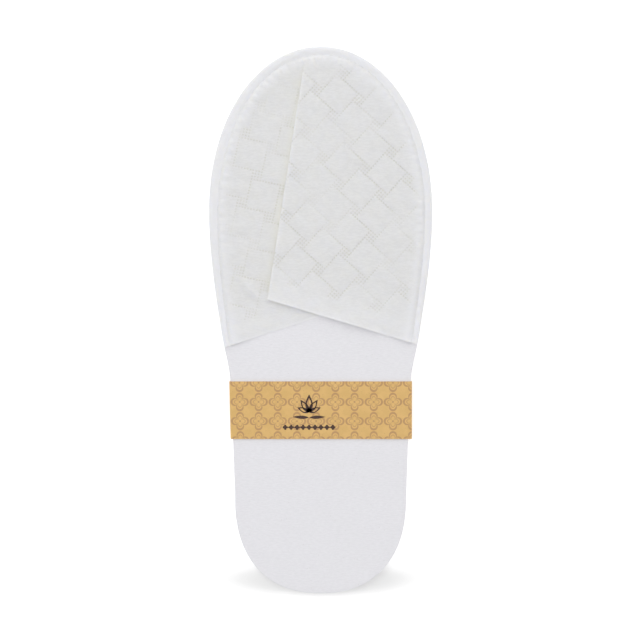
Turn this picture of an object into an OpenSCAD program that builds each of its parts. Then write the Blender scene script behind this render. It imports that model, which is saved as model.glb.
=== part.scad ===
// A pair of flat-packed spa slippers, laid sole to sole in a paper belly band.
// Millimetres, +Z up, toes toward +Y. The origin is the middle of the footprint,
// on the surface that the pair rests on.

/* [Slipper outline] */
// Length from toe to heel
slipper_length = 285; // [260:1:300]
// Half width at the ball of the foot, the widest line
ball_half_width = 58.3; // [55:0.1:62]
// Distance of the widest line behind the toe
ball_from_toe = 86; // [80:1:92]
// Half width of the sole where the paper band grips it
waist_half_width = 47.1; // [46:0.1:48]
// Distance of the gripped waist behind the toe
waist_from_toe = 174; // [170:1:174]
// Half width of the heel
heel_half_width = 44.6; // [42:0.1:45]
// Length of the rounded heel end
heel_round = 50; // [44:1:54]

/* [Sole layers] */
// Thickness of the non-slip sheet under the sole
outsole_t = 0.6; // [0.4:0.1:1]
// Thickness of the foam sole
foam_t = 3; // [2:0.1:5]
// Thickness of the needled felt on top
felt_t = 1.4; // [1:0.1:2]

/* [Vamp] */
// Thickness of the embossed cloth
cloth_t = 0.4; // [0.3:0.05:0.5]
// Free height between folded layers of cloth
layer_gap = 0.15; // [0.1:0.01:0.2]
// Side gap between a moving flap and the cloth beside it
flap_gap = 0.3; // [0.2:0.05:0.5]
// Throat edge behind the toe, at the right seam
throat_right = 154.3; // [150:0.1:158]
// Throat edge behind the toe, at the left seam
throat_left = 155.9; // [150:0.1:158]
// Corner of the upper fold at the throat, behind the toe
upper_fold_back = 131.8; // [128:0.1:136]
// Corner of the upper fold at the throat, left of the middle
upper_fold_left = 27.7; // [24:0.1:30]
// Start of both folds on the toe seam, left of the middle
fold_apex_left = 8; // [6:0.1:10]
// Corner of the hidden fold at the throat, behind the toe
under_fold_back = 133.4; // [130:0.1:136]
// Corner of the hidden fold at the throat, right of the middle
under_fold_right = 21.4; // [18:0.1:24]

/* [Seam] */
// Distance of the seam inside the edge of the sole
seam_inset = 3.6; // [3:0.1:4.5]
// Pitch of the stitches
stitch_pitch = 4.8; // [4:0.1:6]
// Length of one stitch on the surface
stitch_length = 3.4; // [2.5:0.1:3.8]
// Width of the thread
thread_w = 0.5; // [0.3:0.05:0.6]
// Height of the thread
thread_t = 0.25; // [0.15:0.01:0.3]

/* [Paper band] */
// Width of the band
band_width = 30; // [24:1:40]
// Distance of the band's front edge behind the toe
band_from_toe = 174.5; // [172:0.5:180]
// Thickness of the paper
paper_t = 0.3; // [0.25:0.01:0.4]
// Clear height between the band and the felt
band_clear = 0.1; // [0.05:0.01:0.2]
// Outer radius of the band's folded corners
band_corner = 0.6; // [0.5:0.1:0.8]
// Length of the glued lap
lap_length = 26; // [20:1:34]
// Thickness of the glue between the lap's layers
glue_t = 0.1; // [0.05:0.01:0.15]

/* [Hidden] */

// Powers of the superellipses that round the toe and the heel
toe_power = 2.05;
heel_power = 2.3;
toe_steps = 18;
shank_steps = 6;
heel_steps = 16;
// The shank narrows fastest here: distance behind the toe, half width, slope
narrowing = [150, 51.5, 0.158];
waist_slope = 0.06;
heel_slope = 0.03;

// Heights above the plane where the two soles meet
bobbin_z = 0.05;
outsole_z = bobbin_z + thread_t;
foam_z = outsole_z + outsole_t;
felt_z = foam_z + foam_t;
felt_top = felt_z + felt_t;
left_flap_z = felt_top + flap_gap / 2;
pleat_z = left_flap_z + cloth_t + layer_gap;
right_flap_z = pleat_z + cloth_t + layer_gap;
pair_mid_z = right_flap_z + cloth_t;

// One span of a cubic: distance behind the toe, half width and slope at each end
function cubic_span(from, to, steps) = [
    for (i = [1:steps])
        let (t = i / steps, run = to[0] - from[0])
        [
            (2 * t^3 - 3 * t^2 + 1) * from[1] - (t^3 - 2 * t^2 + t) * run * from[2]
                + (3 * t^2 - 2 * t^3) * to[1] - (t^3 - t^2) * run * to[2],
            slipper_length / 2 - from[0] - t * run
        ]
];

// Right half of the outline, from the toe to the heel
toe_arc = [
    for (i = [0:toe_steps])
        let (a = 90 * i / toe_steps)
        [
            ball_half_width * pow(sin(a), 2 / toe_power),
            slipper_length / 2 - ball_from_toe * (1 - pow(cos(a), 2 / toe_power))
        ]
];
heel_arc = [
    for (i = [1:heel_steps])
        let (a = 90 * i / heel_steps)
        [
            heel_half_width * pow(cos(a), 2 / heel_power),
            heel_round * (1 - pow(sin(a), 2 / heel_power)) - slipper_length / 2
        ]
];
ball_node = [ball_from_toe, ball_half_width, 0];
waist_node = [waist_from_toe, waist_half_width, waist_slope];
heel_node = [slipper_length - heel_round, heel_half_width, heel_slope];
right_side = concat(
    toe_arc,
    cubic_span(ball_node, narrowing, shank_steps),
    cubic_span(narrowing, waist_node, shank_steps),
    cubic_span(waist_node, heel_node, shank_steps),
    heel_arc
);
last = len(right_side) - 1;

// Outward direction at a point of the right side
function outward(i) =
    i == 0 ? [0, 1]
    : i == last ? [0, -1]
    : let (run = right_side[i + 1] - right_side[i - 1]) [-run[1], run[0]] / norm(run);

// The right side moved inward
function inset_side(inset) = [
    for (i = [0:last]) right_side[i] - inset * outward(i)
];

function mirrored(points) = [
    for (i = [len(points) - 2:-1:1]) [-points[i][0], points[i][1]]
];

// Seam line from the toe back to the throat, and its length up to each point
seam_side = inset_side(seam_inset);
function run_lengths(p) = [
    for (i = 0, s = 0; i < len(p);
         s = s + (i + 1 < len(p) ? norm(p[i + 1] - p[i]) : 0), i = i + 1) s
];
seam_runs = run_lengths(seam_side);
seam_x_by_run = [for (i = [0:last]) [seam_runs[i], seam_side[i][0]]];
seam_y_by_run = [for (i = [0:last]) [seam_runs[i], seam_side[i][1]]];
seam_x_by_y = [for (i = [last:-1:0]) [seam_side[i][1], seam_side[i][0]]];
seam_run_by_y = [for (i = [last:-1:0]) [seam_side[i][1], seam_runs[i]]];
seam_y_by_x = [for (i = [0:toe_steps]) seam_side[i]];
function seam_point(s) = [lookup(s, seam_x_by_run), lookup(s, seam_y_by_run)];

// Corners of the vamp: the point on the toe seam where both folds start, the seam's
// ends at the throat, and the folds' ends on the throat edge
apex = [-fold_apex_left, lookup(fold_apex_left, seam_y_by_x)];
throat_r_y = slipper_length / 2 - throat_right;
throat_l_y = slipper_length / 2 - throat_left;
seam_r = [lookup(throat_r_y, seam_x_by_y), throat_r_y];
seam_l = [-lookup(throat_l_y, seam_x_by_y), throat_l_y];
upper_fold = [-upper_fold_left, slipper_length / 2 - upper_fold_back];
under_fold = [under_fold_right, slipper_length / 2 - under_fold_back];

// Drop of the throat edge outside the seam, and a reach past every edge
rim_drop = 2;
beyond = 100;
edge_inset = 0.3;
flap_inset = seam_inset + thread_w + 0.3;
stitch_end_margin = 1.5;

// The three moving panels stop this far short of the apex, where the pleat stays sewn shut
apex_clear = 6;

band_side_clear = 0.25;
band_y = slipper_length / 2 - band_from_toe - band_width / 2;
band_inner_x = waist_half_width + band_side_clear;
band_inner_z = felt_top + band_clear;
step_w = 0.8;
glue_margin = 3;

module slipper_shape(inset = 0) {
    side = inset_side(inset);
    polygon(concat(side, mirrored(side)));
}

module sheet(z, t) {
    translate([0, 0, z]) linear_extrude(t) children();
}

// Puts a slipper in the pair: 1 is the upper one, -1 the lower one turned over
module in_pair(side) {
    translate([0, 0, pair_mid_z]) rotate([0, side > 0 ? 0 : 180, 0]) children();
}

module felt_insole() {
    color("ghostwhite") sheet(felt_z, felt_t) slipper_shape();
}

module foam_sole() {
    color("white") sheet(foam_z, foam_t) slipper_shape(edge_inset);
}

module outsole() {
    color("gainsboro") sheet(outsole_z, outsole_t) slipper_shape(edge_inset);
}

// Cloth between the seam and the straight line from the apex to a throat corner
module side_cloth(corner) {
    way = sign(corner[0]);
    sheet(felt_top, cloth_t) intersection() {
        slipper_shape(edge_inset);
        polygon([
            [apex[0], 2 * beyond], apex, corner, corner + [way * seam_inset, -rim_drop],
            corner + [way * beyond, -rim_drop], [way * beyond, 2 * beyond]
        ]);
    }
}

module vamp_right_side() {
    color("whitesmoke") side_cloth(seam_r);
}

module vamp_left_side() {
    color("whitesmoke") side_cloth(seam_l);
}

module flap(z, points) {
    sheet(z, cloth_t) difference() {
        intersection() {
            slipper_shape(flap_inset);
            polygon(points);
        }
        translate(apex) circle(apex_clear, $fn = 48);
    }
}

module vamp_right_flap() {
    gap = [-flap_gap, 0];
    color("gainsboro")
        flap(right_flap_z, [apex + gap, seam_r + gap, upper_fold]);
}

module vamp_pleat() {
    color("lightgray") flap(pleat_z, [apex, under_fold, upper_fold]);
}

module vamp_left_flap() {
    gap = [flap_gap, 0];
    color("whitesmoke") flap(left_flap_z, [apex + gap, seam_l + gap, under_fold]);
}

// A row of stitches along one side of the seam
module stitch_row(end_run, z, way) {
    count = floor((end_run - stitch_end_margin) / stitch_pitch);
    for (i = [0:count - 1]) {
        s = (i + 0.5) * stitch_pitch;
        from = seam_point(s - stitch_length / 2);
        to = seam_point(s + stitch_length / 2);
        middle = (from + to) / 2;
        slant = atan2(to[1] - from[1], way * (to[0] - from[0]));
        translate([way * middle[0], middle[1], z + thread_t / 2])
            rotate([0, 0, slant])
            cube([stitch_length, thread_w, thread_t], center = true);
    }
}

module seam_thread(z) {
    stitch_row(lookup(throat_r_y, seam_run_by_y), z, 1);
    stitch_row(lookup(throat_l_y, seam_run_by_y), z, -1);
}

module needle_thread() {
    color("white") seam_thread(felt_top + cloth_t);
}

module bobbin_thread() {
    color("white") seam_thread(bobbin_z);
}

module rounded_box_shape(half_w, half_h, r) {
    square([2 * (half_w - r), 2 * half_h], center = true);
    square([2 * half_w, 2 * (half_h - r)], center = true);
    for (x = [-1, 1], y = [-1, 1])
        translate([x * (half_w - r), y * (half_h - r)]) circle(r, $fn = 48);
}

// The strip's section: once round the pair, and a step down to the outer lap
module band_shape() {
    half_lap = lap_length / 2;
    lap_y = -band_inner_z - 2 * paper_t - glue_t;
    difference() {
        rounded_box_shape(band_inner_x + paper_t, band_inner_z + paper_t, band_corner);
        rounded_box_shape(band_inner_x, band_inner_z, band_corner - paper_t);
        translate([half_lap, -band_inner_z - 2 * paper_t])
            square([step_w, 2 * paper_t]);
    }
    translate([half_lap + step_w, lap_y])
        square([step_w, 2 * paper_t + glue_t]);
    translate([-half_lap, lap_y])
        square([lap_length + 2 * step_w, paper_t]);
}

module across_band(length) {
    translate([0, band_y + length / 2, pair_mid_z])
        rotate([90, 0, 0]) linear_extrude(length) children();
}

module paper_band() {
    color("burlywood") across_band(band_width) band_shape();
}

module glue_strip() {
    color("wheat") across_band(band_width - glue_margin)
        translate([0, -band_inner_z - paper_t - glue_t / 2])
        square([lap_length - 2 * glue_margin, glue_t], center = true);
}

in_pair(1) felt_insole();  // upper_felt_insole
in_pair(1) foam_sole();  // upper_foam_sole
in_pair(1) outsole();  // upper_outsole
in_pair(1) vamp_right_side();  // upper_vamp_right_side
in_pair(1) vamp_left_side();  // upper_vamp_left_side
in_pair(1) vamp_right_flap();  // upper_vamp_right_flap
in_pair(1) vamp_pleat();  // upper_vamp_pleat
in_pair(1) vamp_left_flap();  // upper_vamp_left_flap
in_pair(1) needle_thread();  // upper_needle_thread
in_pair(1) bobbin_thread();  // upper_bobbin_thread
in_pair(-1) felt_insole();  // lower_felt_insole
in_pair(-1) foam_sole();  // lower_foam_sole
in_pair(-1) outsole();  // lower_outsole
in_pair(-1) vamp_right_side();  // lower_vamp_right_side
in_pair(-1) vamp_left_side();  // lower_vamp_left_side
in_pair(-1) vamp_right_flap();  // lower_vamp_right_flap
in_pair(-1) vamp_pleat();  // lower_vamp_pleat
in_pair(-1) vamp_left_flap();  // lower_vamp_left_flap
in_pair(-1) needle_thread();  // lower_needle_thread
in_pair(-1) bobbin_thread();  // lower_bobbin_thread
paper_band();
glue_strip();
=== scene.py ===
import math
import bmesh
import bpy
import numpy as np
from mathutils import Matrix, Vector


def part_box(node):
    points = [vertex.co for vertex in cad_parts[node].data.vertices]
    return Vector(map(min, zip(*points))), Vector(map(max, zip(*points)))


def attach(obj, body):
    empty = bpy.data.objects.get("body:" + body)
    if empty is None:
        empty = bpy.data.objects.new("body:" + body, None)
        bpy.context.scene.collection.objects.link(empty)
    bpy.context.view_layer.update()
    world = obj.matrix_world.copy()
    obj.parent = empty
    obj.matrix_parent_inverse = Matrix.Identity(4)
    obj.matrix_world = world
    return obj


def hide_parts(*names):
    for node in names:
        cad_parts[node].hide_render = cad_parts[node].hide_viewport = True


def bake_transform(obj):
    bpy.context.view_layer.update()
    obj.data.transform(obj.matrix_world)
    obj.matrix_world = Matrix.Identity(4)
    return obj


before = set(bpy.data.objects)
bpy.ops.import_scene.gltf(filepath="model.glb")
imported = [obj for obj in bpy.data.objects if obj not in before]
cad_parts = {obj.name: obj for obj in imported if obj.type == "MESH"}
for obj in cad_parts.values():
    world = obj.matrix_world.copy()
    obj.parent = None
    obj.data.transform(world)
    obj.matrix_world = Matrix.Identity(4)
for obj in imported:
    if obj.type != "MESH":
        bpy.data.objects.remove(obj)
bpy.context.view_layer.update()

# All shapes below are worked out in millimetres and stored in metres.
MM = 0.001


def node_box(node):
    """Lowest and highest corner of a CAD node, in millimetres."""
    low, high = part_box(node)
    return np.array(low) / MM, np.array(high) / MM


FELT_LOW, FELT_HIGH = node_box("upper_felt_insole")
FOAM_LOW, FOAM_HIGH = node_box("upper_foam_sole")
OUTSOLE_LOW, OUTSOLE_HIGH = node_box("upper_outsole")
LOWER_OUTSOLE_HIGH = node_box("lower_outsole")[1]
BAND_LOW, BAND_HIGH = node_box("paper_band")

# The plane where the two soles meet; heights of a slipper are counted from it
MEET_Z = (OUTSOLE_LOW[2] + LOWER_OUTSOLE_HIGH[2]) / 2
LENGTH = FELT_HIGH[1] - FELT_LOW[1]
TOE_Y = FELT_HIGH[1]
HEEL_Y = FELT_LOW[1]
FELT_TOP = FELT_HIGH[2] - MEET_Z

# Outline of the sole, as in the CAD
BALL_HALF = (FELT_HIGH[0] - FELT_LOW[0]) / 2
BALL_FROM_TOE = 86.0
TOE_POWER = 2.05
NARROWING = (150.0, 51.5, 0.158)
WAIST = (174.0, 47.1, 0.06)
HEEL_HALF = 44.6
HEEL_SLOPE = 0.03
HEEL_ROUND = 50.0
HEEL_POWER = 2.3
OUTLINE_STEP = 0.8

# Seam: depth inside the cut edge against the run from the toe, plus on the right
SEAM_RUNS = (-196.0, -120.0, -70.0, 0.0, 70.0, 130.0, 190.0)
SEAM_DEPTHS = (2.8, 4.6, 5.0, 4.3, 4.2, 3.8, 3.2)
STITCH_PITCH = 4.8
STITCH_LENGTH = 3.3
THREAD_R = 0.2

# Folds of the vamp: apex on the toe seam and the folds' corners at the throat
APEX = np.array([-8.0, TOE_Y - 4.45])
UPPER_FOLD = np.array([-27.7, TOE_Y - 131.8])
UNDER_FOLD = np.array([21.4, TOE_Y - 133.4])
THROAT_RIGHT_Y = TOE_Y - 154.3
THROAT_LEFT_Y = TOE_Y - 155.9
CLOTH_T = 0.25
LEFT_TOP = FELT_TOP + 0.34
PLEAT_TOP = FELT_TOP + 0.80
RIGHT_TOP = FELT_TOP + 1.25
SEWN_TOP = FELT_TOP + 0.38
PLAIN_HEM = 10.0
PLEAT_START = 24.0

# Embossed lattice: dot pitch, and for each half its angle and the place of one dot group
DOT_PITCH = 1.537
RIGHT_LATTICE = (math.radians(-41.8), 25.1, TOE_Y - 41.8)
LEFT_LATTICE = (math.radians(-12.3), -35.9, TOE_Y - 68.9)
SQUARE = 10
GROUP = 3
CELL = SQUARE ** 2 + GROUP ** 2


# ---------------------------------------------------------------- camera and light

# Width seen at the top of the felt, how far the camera stands to the left, and its lens
VIEW_WIDTH = 333.5
CAMERA_X = -0.3
LENS = 110.0
SENSOR = 36.0


def add_camera():
    """Looks straight down on the upper slipper, toe at the top of the picture."""
    data = bpy.data.cameras.new("camera")
    data.lens = LENS
    data.sensor_width = SENSOR
    camera = bpy.data.objects.new("camera", data)
    bpy.context.scene.collection.objects.link(camera)
    reach = VIEW_WIDTH * LENS / SENSOR
    camera.location = (CAMERA_X * MM, 0.0, (MEET_Z + FELT_TOP + reach) * MM)
    bpy.context.scene.camera = camera


def add_area_light(name, place, size, power):
    """A square soft box that looks from place at the middle of the pair's footprint."""
    data = bpy.data.lights.new(name, "AREA")
    data.shape = "SQUARE"
    data.size = size
    data.energy = power
    light = bpy.data.objects.new(name, data)
    bpy.context.scene.collection.objects.link(light)
    way = -np.array(place)
    flat = math.hypot(way[0], way[1])
    light.location = place
    light.rotation_euler = (math.atan2(flat, -way[2]), 0, math.atan2(way[1], way[0]) - math.pi / 2)


def add_world(horizon, zenith):
    """White light from all round, a little stronger near the horizon than overhead."""
    world = bpy.data.worlds.new("studio")
    world.use_nodes = True
    tree = world.node_tree
    direction = tree.nodes.new("ShaderNodeTexCoord")
    split = tree.nodes.new("ShaderNodeSeparateXYZ")
    tree.links.new(direction.outputs["Generated"], split.inputs[0])
    strength = ramp(tree, split.outputs["Z"], 0.02, 0.5, horizon, zenith)
    background = tree.nodes["Background"]
    background.inputs["Color"].default_value = (1.0, 1.0, 1.0, 1.0)
    tree.links.new(strength, background.inputs["Strength"])
    bpy.context.scene.world = world


# ---------------------------------------------------------------- material nodes

def new_material(name, colour, roughness, specular=0.5, sheen=0.0):
    """A Principled material whose even values sit on the shader's own sockets."""
    material = bpy.data.materials.new(name)
    material.use_nodes = True
    shader = material.node_tree.nodes["Principled BSDF"]
    shader.inputs["Base Color"].default_value = (*colour, 1.0)
    shader.inputs["Roughness"].default_value = roughness
    shader.inputs["Specular IOR Level"].default_value = specular
    shader.inputs["Sheen Weight"].default_value = sheen
    return material, material.node_tree, shader


def put(tree, socket, value):
    """Links a socket, or sets its value."""
    if isinstance(value, bpy.types.NodeSocket):
        tree.links.new(value, socket)
    elif value is not None:
        socket.default_value = value


def calc(tree, operation, a, b=None, c=None, clamp=False):
    """One Math node."""
    node = tree.nodes.new("ShaderNodeMath")
    node.operation = operation
    node.use_clamp = clamp
    for socket, value in zip(node.inputs, (a, b, c)):
        put(tree, socket, value)
    return node.outputs[0]


def ramp(tree, value, low, high, start=0.0, end=1.0):
    """start below low, end above high, and a smooth step between them."""
    node = tree.nodes.new("ShaderNodeMapRange")
    node.interpolation_type = "SMOOTHSTEP"
    for name, given in (("Value", value), ("From Min", low), ("From Max", high),
                        ("To Min", start), ("To Max", end)):
        put(tree, node.inputs[name], given)
    return node.outputs["Result"]


def mix_colour(tree, share, first, second):
    """Mixes two colours by a share."""
    node = tree.nodes.new("ShaderNodeMix")
    node.data_type = "RGBA"
    put(tree, node.inputs["Factor"], share)
    for socket, value in ((node.inputs[6], first), (node.inputs[7], second)):
        put(tree, socket, value if isinstance(value, bpy.types.NodeSocket) else (*value, 1.0))
    return node.outputs[2]


def object_place(tree, scale=(1.0, 1.0, 1.0), turn=0.0):
    """Object coordinates in millimetres, stretched and turned about Z."""
    coordinates = tree.nodes.new("ShaderNodeTexCoord")
    mapping = tree.nodes.new("ShaderNodeMapping")
    mapping.inputs["Scale"].default_value = [s / MM for s in scale]
    mapping.inputs["Rotation"].default_value = (0.0, 0.0, turn)
    tree.links.new(coordinates.outputs["Object"], mapping.inputs["Vector"])
    return mapping.outputs["Vector"]


def mark(tree, name):
    """A number that the piece carries at each of its points."""
    node = tree.nodes.new("ShaderNodeAttribute")
    node.attribute_name = name
    return node.outputs["Fac"]


def split_map(tree, name):
    """The two coordinates of one of the piece's own UV maps."""
    uv = tree.nodes.new("ShaderNodeUVMap")
    uv.uv_map = name
    split = tree.nodes.new("ShaderNodeSeparateXYZ")
    tree.links.new(uv.outputs["UV"], split.inputs[0])
    return split.outputs["X"], split.outputs["Y"]


def noise(tree, place, size, detail=3.0, rough=0.55):
    """Noise whose features are about size millimetres across, from 0 to 1."""
    node = tree.nodes.new("ShaderNodeTexNoise")
    tree.links.new(place, node.inputs["Vector"])
    node.inputs["Scale"].default_value = 1.0 / size
    node.inputs["Detail"].default_value = detail
    node.inputs["Roughness"].default_value = rough
    return node.outputs[0]


def cells(tree, place, size, feature="F1"):
    """Distance to the nearest of scattered points about size millimetres apart."""
    node = tree.nodes.new("ShaderNodeTexVoronoi")
    node.feature = feature
    tree.links.new(place, node.inputs["Vector"])
    node.inputs["Scale"].default_value = 1.0 / size
    return node.outputs["Distance"]


def bump(tree, shader, height, depth):
    """Bump of depth millimetres for a height from 0 to 1."""
    node = tree.nodes.new("ShaderNodeBump")
    node.inputs["Strength"].default_value = 1.0
    node.inputs["Distance"].default_value = depth * MM
    tree.links.new(height, node.inputs["Height"])
    tree.links.new(node.outputs["Normal"], shader.inputs["Normal"])


def fibres(tree, size, thin, turns):
    """Crossed long noises: fine fibres lying at several angles, from 0 to 1."""
    total = None
    for turn in turns:
        strand = noise(tree, object_place(tree, (1.0, thin, 1.0), turn), size, 2.0)
        total = strand if total is None else calc(tree, "MAXIMUM", total, strand)
    return total


# ---------------------------------------------------------------- materials

FELT_WHITE = (0.845, 0.838, 0.875)
FELT_SHADE = (0.80, 0.793, 0.83)
FELT_CLOUD = (0.80, 0.80, 0.805)
FELT_PIT_SHADE = (0.62, 0.61, 0.62)
CLOTH_LIGHT = (0.798, 0.797, 0.797)
CLOTH_SHADE = (0.752, 0.751, 0.751)
CLOTH_WARM = (0.783, 0.779, 0.771)
CLOTH_DOT = (0.61, 0.60, 0.50)
# Whiter cloth, also used for the painted highlight on the seam's pillows and rim and the fold edge
CLOTH_WHITE_AND_HIGHLIGHT = (0.865, 0.865, 0.885)
# Painted warm shadow beside the upper fold
CLOTH_FOLD_SHADOW = (0.79, 0.78, 0.70)
KRAFT_DARK = (0.69, 0.445, 0.168)
KRAFT_LIGHT = (0.745, 0.485, 0.19)
KRAFT_SPECK = (0.42, 0.25, 0.10)
PRINT_BROWN = (0.50, 0.29, 0.14)
INK_DARK = (0.055, 0.026, 0.02)
INK_WORN = (0.14, 0.08, 0.045)
MOTIF_PITCH = 10.0


def felt_material():
    """Needled felt: matt white fibres lying mostly crosswise, with sparse needle pits darkened by
    painted shade.
    """
    material, tree, shader = new_material("needled_felt", FELT_WHITE, 0.95, 0.25, 0.1)
    lay = noise(tree, object_place(tree, (1.0, 3.5, 1.0), 0.06), 2.4, 5.0, 0.65)
    cloud = noise(tree, object_place(tree), 30.0, 2.0)
    tint = mix_colour(tree, ramp(tree, lay, 0.35, 0.65), FELT_SHADE, FELT_WHITE)
    tint = mix_colour(tree, calc(tree, "MULTIPLY", cloud, 0.3), tint, FELT_CLOUD)
    pits = ramp(tree, cells(tree, object_place(tree), 3.1), 0.03, 0.10)
    # Painted shade: the felt is darkened in its needle pits
    tint = mix_colour(tree, calc(tree, "MULTIPLY_ADD", pits, -0.5, 0.5), tint, FELT_PIT_SHADE)
    tree.links.new(tint, shader.inputs["Base Color"])
    strands = fibres(tree, 1.5, 5.0, (0.05, 0.5, 1.3, 2.7))
    height = calc(tree, "MULTIPLY_ADD", pits, 0.5, calc(tree, "MULTIPLY", strands, 0.7))
    height = calc(tree, "MULTIPLY_ADD", lay, 0.8, height)
    bump(tree, shader, height, 0.17)
    return material


def embossed_dots(tree):
    """1 in the middle of a pressed dot, from the cloth's own lattice coordinates.

    Every whole-number place of the lattice has a class, (i + 76 j) modulo 109, that repeats
    with the pattern. The classes that hold a dot are the group of four by four and the two
    lines of six that lead from it to the next groups."""
    s, t = split_map(tree, "lattice")
    i, j = (calc(tree, "FLOOR", calc(tree, "ADD", value, 0.5)) for value in (s, t))
    off_s, off_t = calc(tree, "SUBTRACT", s, i), calc(tree, "SUBTRACT", t, j)
    off = calc(tree, "SQRT", calc(tree, "MULTIPLY_ADD", off_s, off_s,
                                  calc(tree, "MULTIPLY", off_t, off_t)))
    kind = calc(tree, "FLOORED_MODULO", calc(tree, "MULTIPLY_ADD", j, 76.0, i), float(CELL))
    near_group = calc(tree, "LESS_THAN", kind, 13.5)
    for middle in (44.5, 77.5):
        near_group = calc(tree, "MAXIMUM", near_group, calc(tree, "COMPARE", kind, middle, 2.0))
    for start in (0.0, 23.0):
        step = calc(tree, "FLOORED_MODULO", calc(tree, "SUBTRACT", kind, start), 33.0)
        near_group = calc(tree, "MAXIMUM", near_group, calc(tree, "LESS_THAN", step, 0.5))
    dot = ramp(tree, off, 0.20, 0.38, 1.0, 0.0)
    return calc(tree, "MULTIPLY", dot, near_group)


def vamp_material():
    """Embossed non-woven cloth: thin streaky fibres, and pressed dots that look glassy and a
    little yellow, stronger in some places than in others. It is whiter at its free edges and hem,
    with a painted highlight on the seam's pillows and rim and along the fold edge, and a painted warm
    shadow beside the fold."""
    material, tree, shader = new_material("embossed_nonwoven", CLOTH_LIGHT, 0.72, 0.35, 0.1)
    mask, white_and_highlight, fold_shadow = (mark(tree, name) for name in ("emboss", "whiter_and_painted_highlight", "painted_fold_shadow"))
    uneven = ramp(tree, noise(tree, object_place(tree), 24.0, 2.0), 0.36, 0.62, 0.30, 1.0)
    dots = calc(tree, "MULTIPLY", embossed_dots(tree), calc(tree, "MULTIPLY", mask, uneven))
    streaks = noise(tree, object_place(tree, (1.0, 2.8, 1.0), 0.12), 2.4, 5.0, 0.62)
    cloud = noise(tree, object_place(tree), 16.0, 3.0)
    tint = mix_colour(tree, ramp(tree, streaks, 0.36, 0.64), CLOTH_SHADE, CLOTH_LIGHT)
    tint = mix_colour(tree, calc(tree, "MULTIPLY", cloud, 0.25), tint, CLOTH_WARM)
    # Whiter free edges and hem, and a painted highlight on the seam's pillows and rim and along the
    # fold edge
    tint = mix_colour(tree, white_and_highlight, tint, CLOTH_WHITE_AND_HIGHLIGHT)
    # Painted shadow, warm-tinted, beside the upper fold
    tint = mix_colour(tree, fold_shadow, tint, CLOTH_FOLD_SHADOW)
    tint = mix_colour(tree, calc(tree, "MULTIPLY", dots, 0.36), tint, CLOTH_DOT)
    tree.links.new(tint, shader.inputs["Base Color"])
    put(tree, shader.inputs["Roughness"], calc(tree, "MULTIPLY_ADD", dots, -0.3, 0.74))
    shader.inputs["Subsurface Weight"].default_value = 0.6
    shader.inputs["Subsurface Radius"].default_value = (1.0, 0.95, 0.8)
    shader.inputs["Subsurface Scale"].default_value = 0.35 * MM
    strands = fibres(tree, 2.2, 6.0, (0.1, 0.9, 2.4))
    height = calc(tree, "MULTIPLY_ADD", strands, 0.22, calc(tree, "MULTIPLY", streaks, 0.45))
    height = calc(tree, "MULTIPLY_ADD", dots, -0.5, height)
    bump(tree, shader, height, 0.34)
    return material


def foam_material():
    """Cut EVA foam: white, matt, with fine closed cells."""
    material, tree, shader = new_material("eva_foam", (0.84, 0.84, 0.83), 0.85, 0.3)
    cell = cells(tree, object_place(tree), 0.45)
    grain = noise(tree, object_place(tree), 1.2, 4.0)
    tint = mix_colour(tree, grain, (0.80, 0.80, 0.79), (0.87, 0.87, 0.865))
    tree.links.new(tint, shader.inputs["Base Color"])
    bump(tree, shader, calc(tree, "MULTIPLY_ADD", cell, 0.8, grain), 0.08)
    return material


def outsole_material():
    """Thin non-slip sheet: off-white, with a slight leathery grain between its studs."""
    material, tree, shader = new_material("studded_sheet", (0.78, 0.78, 0.79), 0.6, 0.45)
    grain = cells(tree, object_place(tree), 0.8, "SMOOTH_F1")
    scuff = noise(tree, object_place(tree), 9.0, 4.0)
    tint = mix_colour(tree, ramp(tree, scuff, 0.35, 0.7), (0.80, 0.80, 0.81), (0.73, 0.73, 0.745))
    tree.links.new(tint, shader.inputs["Base Color"])
    put(tree, shader.inputs["Roughness"], ramp(tree, scuff, 0.3, 0.7, 0.5, 0.7))
    bump(tree, shader, calc(tree, "MULTIPLY_ADD", grain, 0.7, scuff), 0.05)
    return material


def thread_material():
    """Twisted polyester thread: white, with slanting plies whose grooves are darkened by painted shade.
    """
    material, tree, shader = new_material("sewing_thread", (0.80, 0.80, 0.81), 0.55, 0.5, 0.1)
    wave = tree.nodes.new("ShaderNodeTexWave")
    wave.bands_direction = "DIAGONAL"
    wave.inputs["Scale"].default_value = 1.2
    tree.links.new(object_place(tree), wave.inputs["Vector"])
    # Painted shade: the thread is darker in the grooves between its plies
    tint = mix_colour(tree, wave.outputs["Fac"], (0.70, 0.70, 0.705), (0.79, 0.79, 0.795))
    tree.links.new(tint, shader.inputs["Base Color"])
    bump(tree, shader, wave.outputs["Fac"], 0.06)
    return material


def kraft_ground(tree):
    """Colour of bare kraft paper: a warm brown with lighter and darker fibres and specks."""
    cloud = noise(tree, object_place(tree), 6.0, 4.0)
    fibre = noise(tree, object_place(tree, (1.0, 4.0, 1.0), 0.5), 1.1, 3.0)
    speck = ramp(tree, noise(tree, object_place(tree), 0.7, 1.0), 0.66, 0.74)
    tint = mix_colour(tree, ramp(tree, cloud, 0.35, 0.65), KRAFT_DARK, KRAFT_LIGHT)
    tint = mix_colour(tree, calc(tree, "MULTIPLY", fibre, 0.25), tint, KRAFT_LIGHT)
    return mix_colour(tree, calc(tree, "MULTIPLY", speck, 0.35), tint, KRAFT_SPECK), fibre


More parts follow.
